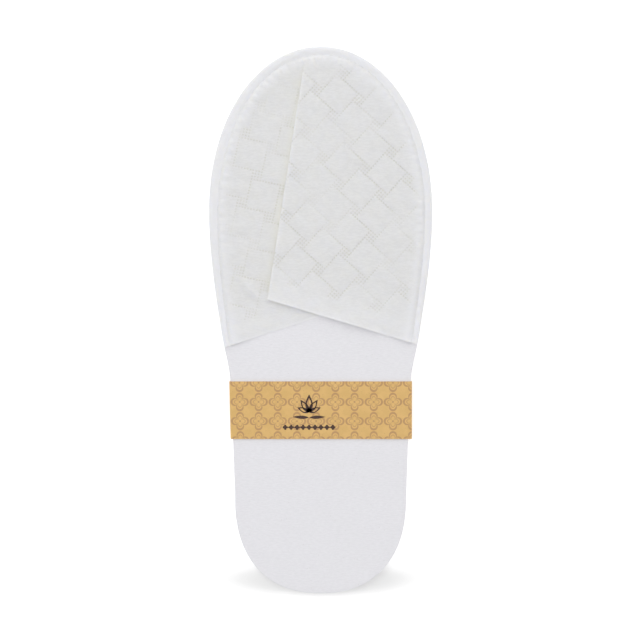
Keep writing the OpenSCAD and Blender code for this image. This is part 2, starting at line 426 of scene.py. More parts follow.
def petal_line(tree, x, y):
    """1 on the double outline of a flower with four round petals in a 10 mm cell.

    The outline's radius is a plain circle swelled by the size of the cosine of twice the
    angle; a thin line follows it inside, and a dot sits in the middle."""
    radius = calc(tree, "SQRT", calc(tree, "MULTIPLY_ADD", x, x, calc(tree, "MULTIPLY", y, y)))
    angle = calc(tree, "ARCTAN2", y, x)
    swell = calc(tree, "ABSOLUTE", calc(tree, "COSINE", calc(tree, "MULTIPLY", angle, 2.0)))
    edge = calc(tree, "MULTIPLY_ADD", calc(tree, "POWER", swell, 0.6), 2.6, 1.7)
    gap = calc(tree, "SUBTRACT", radius, edge)
    outer = ramp(tree, calc(tree, "ABSOLUTE", gap), 0.42, 0.62, 1.0, 0.0)
    inner_gap = calc(tree, "ABSOLUTE", calc(tree, "ADD", gap, 1.5))
    inner = ramp(tree, inner_gap, 0.16, 0.30, 0.85, 0.0)
    dot = ramp(tree, radius, 0.40, 0.60, 1.0, 0.0)
    return calc(tree, "MAXIMUM", calc(tree, "MAXIMUM", outer, inner), dot)


def kraft_material():
    """Uncoated kraft paper with a printed repeat of four-petalled flowers."""
    material, tree, shader = new_material("printed_kraft", KRAFT_LIGHT, 0.82, 0.3)
    ground, fibre = kraft_ground(tree)
    local = []
    for place in split_map(tree, "strip"):
        shifted = calc(tree, "MULTIPLY_ADD", place, 1 / MM, MOTIF_PITCH / 2)
        in_cell = calc(tree, "FLOORED_MODULO", shifted, MOTIF_PITCH)
        local.append(calc(tree, "SUBTRACT", in_cell, MOTIF_PITCH / 2))
    worn = ramp(tree, fibre, 0.25, 0.6, 0.7, 0.95)
    print_share = calc(tree, "MULTIPLY", petal_line(tree, *local), worn)
    print_share = calc(tree, "MULTIPLY", print_share, mark(tree, "printed_side"))
    tint = mix_colour(tree, print_share, ground, PRINT_BROWN)
    tree.links.new(tint, shader.inputs["Base Color"])
    grain = noise(tree, object_place(tree), 0.8, 4.0, 0.65)
    bump(tree, shader, calc(tree, "MULTIPLY_ADD", fibre, 0.6, grain), 0.05)
    return material


def ink_material():
    """Dark brown printing ink, slightly worn on the paper's grain."""
    material, tree, shader = new_material("brown_ink", INK_DARK, 0.6, 0.4)
    grain = noise(tree, object_place(tree), 0.5, 3.0)
    tint = mix_colour(tree, ramp(tree, grain, 0.45, 0.8, 0.0, 0.5), INK_DARK, INK_WORN)
    tree.links.new(tint, shader.inputs["Base Color"])
    bump(tree, shader, grain, 0.01)
    return material


def glue_material():
    """Dried hot glue: cream and slightly glossy, with small bubbles."""
    material, tree, shader = new_material("dried_glue", (0.74, 0.66, 0.44), 0.35, 0.5)
    bubbles = cells(tree, object_place(tree), 1.1)
    tint = mix_colour(tree, bubbles, (0.78, 0.70, 0.48), (0.68, 0.60, 0.40))
    tree.links.new(tint, shader.inputs["Base Color"])
    bump(tree, shader, bubbles, 0.05)
    return material


# ---------------------------------------------------------------- mesh building

def grid_quads(rows, cols, first=0, wrap=False):
    """Quads between the points of a grid, stored row by row; wrap joins the last column to
    the first."""
    r = np.arange(rows - 1)[:, None]
    c = np.arange(cols if wrap else cols - 1)[None]
    nxt = (c + 1) % cols
    quads = np.stack([r * cols + c, r * cols + nxt, (r + 1) * cols + nxt, (r + 1) * cols + c], -1)
    return quads.reshape(-1, 4) + first


def make_piece(name, points, quads, material, uv=None, uv_name=None, marks=None, smooth=True):
    """A mesh object from arrays of points and quads. Doubled points are merged, collapsed
    faces dropped, and the faces of each closed shell turned outwards."""
    mesh = bpy.data.meshes.new(name)
    mesh.from_pydata((np.asarray(points) * MM).tolist(), [], np.asarray(quads).tolist())
    if uv is not None:
        layer = mesh.uv_layers.new(name=uv_name)
        at_corners = np.asarray(uv)[np.asarray(quads).ravel()]
        layer.data.foreach_set("uv", at_corners.astype(np.float32).ravel())
    for mark_name, values in (marks or {}).items():
        attribute = mesh.attributes.new(mark_name, "FLOAT", "POINT")
        attribute.data.foreach_set("value", np.asarray(values, np.float32).ravel())
    shape = bmesh.new()
    shape.from_mesh(mesh)
    bmesh.ops.remove_doubles(shape, verts=shape.verts, dist=0.002 * MM)
    bmesh.ops.dissolve_degenerate(shape, edges=shape.edges, dist=0.0005 * MM)
    bmesh.ops.recalc_face_normals(shape, faces=shape.faces)
    shape.to_mesh(mesh)
    shape.free()
    if smooth:
        mesh.shade_smooth()
        mesh.set_sharp_from_angle(angle=math.radians(48))
    mesh.materials.append(material)
    piece = bpy.data.objects.new(name, mesh)
    bpy.context.scene.collection.objects.link(piece)
    return piece


def in_pair(side, points):
    """Puts a slipper's points in the pair: the upper one as it is, the lower one turned
    half round about the long axis."""
    points = np.asarray(points, float)
    turn = np.array([1.0, 1.0, 1.0]) if side == "upper" else np.array([-1.0, 1.0, -1.0])
    return points * turn + np.array([0.0, 0.0, MEET_Z])


def closed_sheet(top, thickness, normal=(0.0, 0.0, 1.0)):
    """Closes a grid into a sheet: the top points, the same points moved back along the
    normal, and strips round the border. Returns points and quads."""
    rows, cols = top.shape[:2]
    under = top - thickness * np.asarray(normal)
    points = np.concatenate([top.reshape(-1, 3), under.reshape(-1, 3)])
    count = rows * cols
    index = np.arange(count).reshape(rows, cols)
    border = np.concatenate([index[0, :-1], index[:-1, -1], index[-1, :0:-1], index[:0:-1, 0]])
    after = np.roll(border, -1)
    strips = np.stack([border, after, after + count, border + count], -1)
    faces = [grid_quads(rows, cols), grid_quads(rows, cols, count)[:, ::-1], strips]
    return points, np.concatenate(faces)


def smoothstep(value, low, high):
    """0 below low, 1 above high, and a cubic step between them."""
    share = np.clip((value - low) / (high - low), 0.0, 1.0)
    return share * share * (3.0 - 2.0 * share)


def soft_noise(x, y, size, seed):
    """Gentle waves about size millimetres long: fourteen cosines with random directions,
    lengths and phases, added and scaled to about -1 to 1."""
    dice = np.random.default_rng(seed)
    total = np.zeros(np.shape(x))
    for _ in range(14):
        way, phase = dice.uniform(0, 2 * math.pi, 2)
        wave = 2 * math.pi / (size * dice.uniform(0.7, 1.6))
        total = total + np.cos(wave * (x * math.cos(way) + y * math.sin(way)) + phase)
    return total / 5.0


# ---------------------------------------------------------------- outline of the sole

def cubic_span(start, end, steps):
    """Half width and place along the shank between two nodes of distance behind the toe,
    half width and inward slope: a cubic with those ends and slopes."""
    t = np.arange(1, steps + 1) / steps
    run = end[0] - start[0]
    half = ((2 * t**3 - 3 * t**2 + 1) * start[1] - (t**3 - 2 * t**2 + t) * run * start[2]
            + (3 * t**2 - 2 * t**3) * end[1] - (t**3 - t**2) * run * end[2])
    return np.stack([half, TOE_Y - start[0] - t * run], -1)


def right_side_curve():
    """Right half of the outline from toe to heel: a quarter superellipse, three cubics and
    another quarter superellipse."""
    a = np.linspace(0, math.pi / 2, 60)
    toe = np.stack([BALL_HALF * np.sin(a) ** (2 / TOE_POWER),
                    TOE_Y - BALL_FROM_TOE * (1 - np.cos(a) ** (2 / TOE_POWER))], -1)
    b = np.linspace(0, math.pi / 2, 61)[1:]
    heel = np.stack([HEEL_HALF * np.abs(np.cos(b)) ** (2 / HEEL_POWER),
                     HEEL_Y + HEEL_ROUND * (1 - np.sin(b) ** (2 / HEEL_POWER))], -1)
    heel[-1, 0] = 0.0
    ball = (BALL_FROM_TOE, BALL_HALF, 0.0)
    heel_start = (LENGTH - HEEL_ROUND, HEEL_HALF, HEEL_SLOPE)
    return np.concatenate([toe, cubic_span(ball, NARROWING, 24), cubic_span(NARROWING, WAIST, 12),
                           cubic_span(WAIST, heel_start, 24), heel])


def outline():
    """The whole outline as one curve from the heel up the left side, round the toe and down
    the right side, with its run counted from the toe, its tangent and its outward normal."""
    side = right_side_curve()
    lengths = np.concatenate([[0.0], np.cumsum(np.hypot(*np.diff(side, axis=0).T))])
    count = int(lengths[-1] / OUTLINE_STEP)
    even = np.linspace(0, lengths[-1], count)
    right = np.stack([np.interp(even, lengths, side[:, 0]), np.interp(even, lengths, side[:, 1])], -1)
    left = right[:0:-1] * np.array([-1.0, 1.0])
    points = np.concatenate([left, right])
    run = np.concatenate([-even[:0:-1], even])
    along = np.gradient(points, axis=0)
    along[0] = along[-1] = (-1.0, 0.0)
    along /= np.linalg.norm(along, axis=1, keepdims=True)
    out = np.stack([-along[:, 1], along[:, 0]], -1)
    return points, run, along, out


EDGE, EDGE_RUN, EDGE_ALONG, EDGE_OUT = outline()


def edge_point(run, depth=0.0):
    """Place on the outline at a run from the toe, moved inward by depth."""
    place = np.stack([np.interp(run, EDGE_RUN, EDGE[:, k]) for k in (0, 1)], -1)
    out = np.stack([np.interp(run, EDGE_RUN, EDGE_OUT[:, k]) for k in (0, 1)], -1)
    return place - out * np.asarray(depth)[..., None]


def edge_coordinates(x, y):
    """Depth inside the outline and run along it: the nearest outline point is found, and the
    step from it is split along its normal and its tangent."""
    flat = np.stack([np.ravel(x), np.ravel(y)], -1)
    near = np.concatenate([
        np.argmin(((block[:, None] - EDGE[None]) ** 2).sum(-1), axis=1)
        for block in np.array_split(flat, max(1, len(flat) // 3000))
    ])
    step = flat - EDGE[near]
    depth = -(step * EDGE_OUT[near]).sum(-1)
    run = EDGE_RUN[near] + (step * EDGE_ALONG[near]).sum(-1)
    return depth.reshape(np.shape(x)), run.reshape(np.shape(x))


def seam_depth(run):
    """Distance of the seam inside the cut edge, in straight steps between the listed runs."""
    return np.interp(run, SEAM_RUNS, SEAM_DEPTHS)


def run_at(y, side):
    """Run at which the outline passes a height y, on the right (1) or the left (-1)."""
    right = EDGE_RUN >= 0
    return side * np.interp(-y, -EDGE[right, 1], EDGE_RUN[right])


# ---------------------------------------------------------------- sole layers

SPINE_TOE = 90.0
SPINE_HEEL = -100.0


def disc_rings(insets, heights, shrinks, height_at):
    """Rings from the cut edge to the middle of a sole layer. The first rings follow the
    outline inside by insets, at given heights or where height_at puts them; the next shrink
    toward a line down the middle by shrinks."""
    rings = []
    for inset, height in zip(insets, heights):
        ring = EDGE - EDGE_OUT * inset
        up = height_at(ring[:, 0], ring[:, 1]) if height is None else np.full(len(ring), height)
        rings.append(np.column_stack([ring, up]))
    rim = EDGE - EDGE_OUT * insets[-1]
    spine = np.column_stack([np.zeros(len(rim)),
                             np.interp(rim[:, 1], [HEEL_Y, TOE_Y], [SPINE_HEEL, SPINE_TOE])])
    for shrink in shrinks:
        ring = spine + (rim - spine) * shrink
        rings.append(np.column_stack([ring, height_at(ring[:, 0], ring[:, 1])]))
    return rings


def sole_layer(low, high, inset, rounding, top_shape=None, fine=(), rings=12):
    """A closed layer of the sole: flat underneath, rounded at the cut edge, and on top
    either flat or shaped by top_shape, with extra rings at the fine insets."""
    quarter = np.linspace(0, math.pi / 2, 5)
    insets = list(inset + rounding * (1 - np.cos(quarter)))
    rise = rounding * (1 - np.sin(quarter))
    shrinks = np.linspace(1, 0, rings)[1:]
    under = disc_rings(insets, list(low + rise), shrinks, lambda x, y: np.full(np.shape(x), low))
    over = disc_rings(insets + list(fine), list(high - rise) + [None] * len(fine), shrinks,
                      top_shape or (lambda x, y: np.full(np.shape(x), high)))
    points = np.stack(under[::-1] + over)
    rows, cols = points.shape[:2]
    return points.reshape(-1, 3), grid_quads(rows, cols)


def felt_top_shape(x, y):
    """Felt that lies a little uneven, sinks toward its cut edge, and under the vamp is
    drawn down along the seam."""
    depth, run = edge_coordinates(x, y)
    press = 0.12 * np.exp(-depth / 2.0)
    sewn = smoothstep(y, THROAT_LEFT_Y - 1.0, THROAT_LEFT_Y + 3.0)
    groove = 0.50 * sewn * np.exp(-((depth - seam_depth(run)) / 1.8) ** 2)
    return FELT_TOP - 0.08 - 0.05 * soft_noise(x, y, 24.0, 3) - press - groove


def stud_field(low):
    """Small round studs under the sole, in staggered rows 6 mm apart: each is a dome of two
    rings and a flat cap."""
    pitch, base_r, height, sides = 6.0, 1.1, 0.18, 10
    rows = np.arange(HEEL_Y, TOE_Y, pitch * math.sqrt(3) / 2)
    cols = np.arange(-60.0, 60.0, pitch)
    x = cols[None] + (np.arange(len(rows)) % 2)[:, None] * pitch / 2
    y = np.broadcast_to(rows[:, None], x.shape)
    depth, _ = edge_coordinates(x, y)
    half = np.interp(y, EDGE[EDGE_RUN <= 0, 1], -EDGE[EDGE_RUN <= 0, 0])
    kept = (np.abs(x) < half) & (depth > 6.0)
    centres = np.stack([x[kept], y[kept]], -1)
    a = np.linspace(0, 2 * math.pi, sides, endpoint=False)
    radii = base_r * np.array([1.0, 0.86, 0.5, 0.001])
    drops = np.array([-0.05, height * 0.6, height * 0.95, height])
    ring = np.stack([np.cos(a), np.sin(a)], -1)
    stud = np.concatenate([
        np.column_stack([ring * r, np.full(sides, low - d)]) for r, d in zip(radii, drops)
    ])
    quads = grid_quads(len(radii), sides, wrap=True)
    lid = np.stack([np.arange(0, sides // 2 - 1), np.arange(1, sides // 2),
                    sides - 1 - np.arange(1, sides // 2), sides - 1 - np.arange(0, sides // 2 - 1)], -1)
    quads = np.concatenate([quads, lid])
    points = stud[None] + np.column_stack([centres, np.zeros(len(centres))])[:, None]
    shift = (np.arange(len(centres)) * len(stud))[:, None, None]
    return points.reshape(-1, 3), (quads[None] + shift).reshape(-1, 4)


def add_sole(side, materials):
    """Felt, foam and studded sheet of one slipper."""
    body = f"{side}_slipper"
    pieces = []
    felt_low = FELT_LOW[2] - MEET_Z
    points, quads = sole_layer(felt_low, FELT_TOP - 0.2, 0.0, 0.35, felt_top_shape,
                               np.arange(0.9, 9.0, 0.75), rings=30)
    felt = make_piece(f"{side}_felt", in_pair(side, points), quads, materials["felt"])
    pieces.append((felt, "felt", "felt_insole"))
    foam_low, foam_high = FOAM_LOW[2] - MEET_Z, FOAM_HIGH[2] - MEET_Z
    points, quads = sole_layer(foam_low, foam_high, 0.35, 0.25)
    foam = make_piece(f"{side}_foam", in_pair(side, points), quads, materials["foam"])
    pieces.append((foam, "foam", "foam_sole"))
    sheet_low, sheet_high = OUTSOLE_LOW[2] - MEET_Z, OUTSOLE_HIGH[2] - MEET_Z
    points, quads = sole_layer(sheet_low, sheet_high, 0.3, 0.1)
    stud_points, stud_quads = stud_field(sheet_low)
    quads = np.concatenate([quads, stud_quads + len(points)])
    points = np.concatenate([points, stud_points])
    sheet = make_piece(f"{side}_studded_sheet", in_pair(side, points), quads, materials["outsole"])
    pieces.append((sheet, "outsole", "outsole"))
    for piece, slot, node in pieces:
        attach(piece, body)
        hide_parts(f"{side}_{node}")


# ---------------------------------------------------------------- vamp cloth

RUN_RIGHT = run_at(THROAT_RIGHT_Y - 1.0, 1)
RUN_LEFT = run_at(THROAT_LEFT_Y - 1.0, -1)
THROAT_R = edge_point(RUN_RIGHT)
THROAT_L = edge_point(RUN_LEFT)
CUT_INSET = 0.05

# Ends of the seam at the throat, where each panel starts to bend
SEAM_R = edge_point(run_at(THROAT_RIGHT_Y, 1), 3.6)
SEAM_L = edge_point(run_at(THROAT_LEFT_Y, -1), 3.6)

# Run where the upper fold's line, carried on past the apex, meets the cut edge, how wide
# and deep the cloth curls beside the fold, and the seed that both panels' rims share
FOLD_RUN = -7.4
FOLD_ROLL = 1.6
FOLD_DROP = 0.52
SEAM_SEED = 21

# A pull line of the left panel, from the seam to the throat end of the upper fold
CREASE_START = np.array([-55.0, TOE_Y - 107.0])
CREASE_END = UPPER_FOLD + np.array([-1.5, -3.0])


def fan_grid(inner, run_from, run_to, rows, cols):
    """Straight rows between a broken inner line and the cut edge; both ends move at a
    steady pace, and the columns crowd a little toward the cut edge."""
    inner = np.asarray(inner, float)
    lengths = np.concatenate([[0.0], np.cumsum(np.hypot(*np.diff(inner, axis=0).T))])
    t = np.linspace(0, 1, rows)
    near = np.stack([np.interp(t * lengths[-1], lengths, inner[:, k]) for k in (0, 1)], -1)
    far = edge_point(run_from + (run_to - run_from) * t, CUT_INSET)
    u = 1 - (1 - np.linspace(0, 1, cols)) ** 1.2
    place = near[:, None] + (far - near)[:, None] * u[None, :, None]
    return place[..., 0], place[..., 1]


def line_coordinates(x, y, start, end):
    """Distance to the left of a line that runs from start to end, and the share along it."""
    way = np.asarray(end, float) - np.asarray(start, float)
    length = math.hypot(*way)
    way = way / length
    dx, dy = x - start[0], y - start[1]
    return way[0] * dy - way[1] * dx, (way[0] * dx + way[1] * dy) / length


def lattice_coordinates(x, y, lattice):
    """Place in the embossed lattice, counted in dots."""
    angle, from_x, from_y = lattice
    dx, dy = x - from_x, y - from_y
    return ((dx * math.cos(angle) + dy * math.sin(angle)) / DOT_PITCH,
            (dy * math.cos(angle) - dx * math.sin(angle)) / DOT_PITCH)


def quilting(s, t):
    """Height of the plain squares between the dot lines: in each square of ten dots a
    cushion, one less the fourth power of the place across it both ways."""
    m = np.round((SQUARE * (s - 8) - GROUP * (t - 5)) / CELL)
    n = np.round((GROUP * (s - 8) + SQUARE * (t - 5)) / CELL)
    height = np.zeros(np.shape(s))
    for dm in (-1, 0, 1):
        for dn in (-1, 0, 1):
            a = (s - 8 - SQUARE * (m + dm) - GROUP * (n + dn)) / (SQUARE / 2)
            b = (t - 5 + GROUP * (m + dm) - SQUARE * (n + dn)) / (SQUARE / 2)
            inside = (np.abs(a) < 1) & (np.abs(b) < 1)
            height = np.where(inside, (1 - a**4) * (1 - b**4), height)
    return height


def sewn_height(x, y, free_height, puff, pucker, seed):
    """Top of cloth that is sewn round its rim: a soft roll outside the seam, a groove at the
    seam, pillows between the stitches inside it, puckers that fade inward, and then the
    free height. Near the throat the cloth is gathered less, so pillows and puckers are calmer."""
    depth, run = edge_coordinates(x, y)
    inside = depth - seam_depth(run)
    rim_share = np.clip(depth / seam_depth(run), 0.0, 1.0)
    rim = 0.14 * np.sin(math.pi * rim_share) ** 0.8 - 0.40 * (1 - smoothstep(depth, 0.0, 1.6)) ** 2
    fuzz = 0.09 * soft_noise(x, y, 4.5, seed + 9) + 0.05 * soft_noise(x, y, 2.2, seed + 10)
    rim = rim + fuzz * np.sin(math.pi * rim_share) ** 0.5
    pace = run + 0.9 * soft_noise(run, 0 * run, 30.0, seed + 7)
    gathered = smoothstep(y, TOE_Y - 125.0, TOE_Y - 95.0)
    uneven = 1 + 0.24 * gathered * np.clip(soft_noise(run, 0 * run, 9.0, seed + 5), -1.2, 1.0)
    q = np.maximum(inside, 0.0) / 3.0
    hump = q * np.exp(1 - q)
    pillow = 0.45 + 0.55 * np.abs(np.cos(math.pi * pace / STITCH_PITCH)) ** 0.6
    pillow = 0.8 + (pillow - 0.8) * (0.25 + 0.75 * gathered)
    pinch = 1 - smoothstep(inside, 1.0, 6.0)
    puffs = puff * hump * uneven * (pinch * pillow + (1 - pinch) * 0.8)
    groove = 0.24 * np.exp(-(inside / 1.2) ** 2)
    waves = soft_noise(run, 0.22 * inside, 9.0, seed + 3)
    ridges = pucker * waves * smoothstep(inside, 0.5, 6.0) * np.exp(-np.maximum(inside, 0) / 12.0)
    ridges = ridges * (0.35 + 0.65 * gathered)
    free = smoothstep(inside, 0.0, 14.0)
    height = SEWN_TOP + np.where(inside < 0, rim, puffs) - groove
    return height + ridges + free * (free_height - SEWN_TOP), inside


def right_lift(x, y):
    """How far the right flap stands up: most at its free throat edge, a little along its
    upper fold, nothing at the seam."""
    from_throat, share = line_coordinates(x, y, UPPER_FOLD, THROAT_R)
    bell = np.cos(math.pi / 2 * np.clip((share - 0.3) / 0.75, -1, 1)) ** 2
    from_fold, _ = line_coordinates(x, y, UPPER_FOLD, APEX)
    return (0.5 * bell * np.exp(-np.maximum(from_throat, 0) / 20.0)
            + 0.45 * np.exp(-np.maximum(-from_fold, 0) / 9.0) * smoothstep(APEX[1] - y, 0.0, 30.0))


def left_lift(x, y):
    """How far the left flap stands up at its free throat edge."""
    from_throat, share = line_coordinates(x, y, THROAT_L, UNDER_FOLD)
    bell = np.cos(math.pi / 2 * np.clip((share - 0.45) / 0.5, -1, 1)) ** 2
    return 0.10 * bell * np.exp(-np.maximum(from_throat, 0) / 14.0)


def emboss_mask(from_throat, inside):
    """Where the cloth is embossed: not in the plain hem and not beside the seam."""
    return smoothstep(from_throat, PLAIN_HEM - 0.8, PLAIN_HEM + 0.8) * smoothstep(inside, 2.0, 7.0)


def whiteness_and_highlight(from_throat, inside):
    """Where the cloth is coloured lighter: whiter at a free edge and less and less over the plain
    hem, and a painted highlight on the pillows inside the seam and on the rim outside it."""
    edge = 0.7 * (1 - smoothstep(from_throat, 0.4, 1.9))
    hem = 0.35 * (1 - smoothstep(from_throat, 3.0, 22.0))
    pillow = 0.4 * np.exp(-((inside - 2.6) / 2.6) ** 2)
    rim = 0.75 * (inside < 0)
    return np.clip(np.maximum(edge, hem) + pillow + rim, 0.0, 1.0)


def pressed(height, loft):
    """The lower slipper's cloth is pressed flat by the pair's weight; loft 1 leaves it free."""
    return height if loft > 0 else np.minimum(height, RIGHT_TOP)


def vamp_sheet(name, side, x, y, height, mask, white_and_highlight, fold_shadow, lattice_place, material):
    """Closes one panel of cloth and gives it its lattice coordinates, its emboss mask, where it is
    whiter or carries a painted highlight, and where it carries a painted warm shadow."""
    top = np.stack([x, y, height], -1)
    points, quads = closed_sheet(top, CLOTH_T)
    s, t = lattice_place
    uv = np.tile(np.stack([s, t], -1).reshape(-1, 2), (2, 1))
    marks = {"emboss": np.tile(mask.ravel(), 2), "whiter_and_painted_highlight": np.tile(white_and_highlight.ravel(), 2),
             "painted_fold_shadow": np.tile(fold_shadow.ravel(), 2)}
    return make_piece(name, in_pair(side, points), quads, material, uv, "lattice", marks)


def bend_from_chord(piece, corner):
    """Bakes a panel's placement into its points. The way from the apex to the throat corner is
    worked out but not used, so no bend is made."""
    way = corner - APEX
    way = way / math.hypot(*way)
    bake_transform(piece)


def fold_drop(from_fold):
    """How far cloth curls down beside its fold: a quarter of an ellipse."""
    share = 1 - np.clip(from_fold / FOLD_ROLL, 0.0, 1.0)
    return FOLD_DROP * (1 - np.sqrt(1 - share**2))


def pleat_share(x, y):
    """Nothing near the apex, where there is no pleat yet, and one where it lies."""
    from_apex = np.hypot(x - APEX[0], y - APEX[1])
    return smoothstep(from_apex, 0.4 * PLEAT_START, PLEAT_START)


def add_right_panel(side, loft, material):
    """The top panel, from the right cut edge over to the upper fold, with its free throat
    edge; it drops a little past the hidden fold under it."""
    x, y = fan_grid([edge_point(FOLD_RUN), APEX, UPPER_FOLD], FOLD_RUN, RUN_RIGHT, 250, 160)
    from_under, _ = line_coordinates(x, y, APEX, UNDER_FOLD)
    single = smoothstep(from_under, 0.0, 9.0)
    from_throat, _ = line_coordinates(x, y, UPPER_FOLD, THROAT_R)
    droop = 0.55 + 0.37 * (1 - smoothstep(from_throat, 0.0, 7.0))
    free = RIGHT_TOP - droop * single + loft * right_lift(x, y)
    free = free + loft * (0.14 * soft_noise(x, y, 19.0, 11) + 0.12 * soft_noise(x, y, 8.0, 12))
    height, inside = sewn_height(x, y, free, 1.05, 0.20, SEAM_SEED)
    s, t = lattice_coordinates(x, y, RIGHT_LATTICE)
    mask = emboss_mask(from_throat, inside)
    from_fold, _ = line_coordinates(x, y, UPPER_FOLD, APEX)
    height = height + 0.25 * mask * (quilting(s, t) - 0.6)
    over_felt = FELT_TOP + CLOTH_T
    over_pleat = PLEAT_TOP + CLOTH_T + 0.03 + 0.7 * loft * right_lift(x, y)
    rest = over_felt + (over_pleat - over_felt) * pleat_share(x, y) * (from_under < 0)
    height = np.where(inside > 5.0, np.maximum(height, rest), height)
    height = height - fold_drop(-from_fold) * smoothstep(inside, 3.0, 14.0)
    height = pressed(height, loft)
    # Painted highlight along the rounded edge of the upper fold, added to the whiter edges and painted
    # pillow highlight
    white_and_highlight = np.maximum(whiteness_and_highlight(from_throat, inside), 0.3 * (1 - smoothstep(-from_fold, 0.3, 2.2)))
    piece = vamp_sheet(f"{side}_vamp_right", side, x, y, height, mask, white_and_highlight, 0 * x, (s, t), material)
    bend_from_chord(piece, SEAM_R)
    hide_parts(f"{side}_vamp_right_side", f"{side}_vamp_right_flap")


def add_left_panel(side, loft, material):
    """The under panel, from the left cut edge to the hidden fold under the top panel."""
    tuck = APEX + np.array([1.0, -0.6])
    start = FOLD_RUN + 1.0
    x, y = fan_grid([edge_point(start), tuck, UNDER_FOLD], start, RUN_LEFT, 250, 160)
    free = LEFT_TOP + loft * left_lift(x, y)
    free = free + loft * (0.10 * soft_noise(x, y, 21.0, 13) + 0.09 * soft_noise(x, y, 8.0, 14))
    off, share = line_coordinates(x, y, CREASE_START, CREASE_END)
    crease = np.exp(-(off / 2.2) ** 2)
    crease = crease * smoothstep(share, -0.05, 0.25) * (1 - smoothstep(share, 0.75, 1.05))
    free = free + 0.65 * loft * crease
    height, inside = sewn_height(x, y, free, 1.05, 0.45, SEAM_SEED)
    s, t = lattice_coordinates(x, y, LEFT_LATTICE)
    from_throat, _ = line_coordinates(x, y, THROAT_L, UNDER_FOLD)
    mask = emboss_mask(from_throat, inside)
    from_fold, fold_share = line_coordinates(x, y, UPPER_FOLD, APEX)
    shown = smoothstep(from_fold, -0.5, 3.5)
    height = height + (0.03 + 0.17 * shown) * mask * (quilting(s, t) - 0.6)
    height = height - 0.23 * (1 - smoothstep(from_throat, 0.0, 4.0)) * smoothstep(inside, 0.0, 4.0)
    ceiling = PLEAT_TOP - CLOTH_T - 0.1 + 4.0 * shown + 0.36 * (1 - pleat_share(x, y))
    height = pressed(np.where(inside > 4.0, np.minimum(height, ceiling), height), loft)
    covered = 1 - smoothstep(from_fold, -0.9, -0.1)
    height = height - 0.28 * covered * (1 - smoothstep(inside, 3.0, 7.0))
    # Painted shadow beside the upper fold: a warm, slightly darker tint on the left panel next to the
    # top panel's edge
    fold_shadow = 0.6 * np.exp(-np.maximum(from_fold, 0) / 2.4) * smoothstep(inside, 3.0, 14.0)
    fold_shadow = fold_shadow * smoothstep(fold_share, -0.01, 0.06)
    white_and_highlight = whiteness_and_highlight(from_throat, inside)
    piece = vamp_sheet(f"{side}_vamp_left", side, x, y, height, mask, white_and_highlight, fold_shadow, (s, t), material)
    bend_from_chord(piece, SEAM_L)
    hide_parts(f"{side}_vamp_left_side", f"{side}_vamp_left_flap")


def add_pleat(side, loft, material):
    """The middle layer of the pleat, between the upper fold and the hidden fold. Its edge
    lies just inside the curl of the top panel."""
    length = math.hypot(*(UPPER_FOLD - APEX))
    way = (APEX - UPPER_FOLD) / length
    inset = np.array([way[1], -way[0]]) * 0.6
    t_rows = np.linspace(PLEAT_START, length, 110)
    upper = APEX + (UPPER_FOLD - APEX) * (t_rows / length)[:, None] + inset
    share = (t_rows - PLEAT_START) / (t_rows[-1] - PLEAT_START)
    under_start = APEX + (UNDER_FOLD - APEX) * PLEAT_START / math.hypot(*(UNDER_FOLD - APEX))
    under = under_start + (UNDER_FOLD - under_start) * share[:, None]
    u = np.linspace(0, 1, 46)
    place = upper[:, None] + (under - upper)[:, None] * u[None, :, None]
    x, y = place[..., 0], place[..., 1]
    height = PLEAT_TOP + 0.7 * loft * right_lift(x, y)
    off, _ = line_coordinates(x, y, UPPER_FOLD, APEX)
    mirror_x, mirror_y = x + 2 * off * way[1], y - 2 * off * way[0]
    s, t = lattice_coordinates(mirror_x, mirror_y, RIGHT_LATTICE)
    from_throat, _ = line_coordinates(x, y, UPPER_FOLD, UNDER_FOLD)
    mask = smoothstep(from_throat, PLAIN_HEM - 0.8, PLAIN_HEM + 0.8)
    height = height - 0.08 * mask * quilting(s, t)
    white_and_highlight = whiteness_and_highlight(from_throat, 50.0 + 0 * x)
    name = f"{side}_vamp_pleat_cloth"
    piece = vamp_sheet(name, side, x, y, height, mask, white_and_highlight, 0 * x, (s, t), material)
    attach(piece, f"{side}_pleat")
    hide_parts(f"{side}_vamp_pleat")


# ---------------------------------------------------------------- seam threads

def stitch_row(run_from, run_to, height, depth_shift=0.0):
    """Stitches along the seam: each is a short bowed two-ply tube whose ends dive into the
    cloth, repeated along the seam by its run."""
    steps, sides = 9, 8
    count = int((run_to - run_from) / STITCH_PITCH)
    middle = run_from + (np.arange(count) + 0.5) * (run_to - run_from) / count
    u = np.linspace(-1, 1, steps)
    a = np.linspace(0, 2 * math.pi, sides, endpoint=False)
    run = middle[:, None] + u[None] * STITCH_LENGTH / 2
    place = edge_point(run, seam_depth(run) + depth_shift)
    out = np.stack([np.interp(run, EDGE_RUN, EDGE_OUT[:, k]) for k in (0, 1)], -1)
    bow = 0.16 - 0.55 * np.abs(u) ** 4
    twist = a[None] + 2.5 * u[:, None]
    radius = THREAD_R * (1 + 0.16 * np.cos(2 * twist)) * (1 - 0.45 * np.abs(u[:, None]) ** 6)
    side_step = radius * np.cos(a)[None]
    up_step = radius * np.sin(a)[None]
    xy = place[:, :, None] + out[:, :, None] * side_step[None, :, :, None]
    z = np.broadcast_to(height + bow[None, :, None] + up_step[None], xy.shape[:3])
    points = np.concatenate([xy, z[..., None]], -1)
    quads = grid_quads(steps, sides, wrap=True)
    caps = [np.array([[k, k + 1, sides - 2 - k, sides - 1 - k] for k in range(sides // 2 - 1)])
            + row * sides for row in (0, steps - 1)]
    quads = np.concatenate([quads] + caps)
    shift = (np.arange(count) * steps * sides)[:, None, None]
    return points.reshape(-1, 3), (quads[None] + shift).reshape(-1, 4)


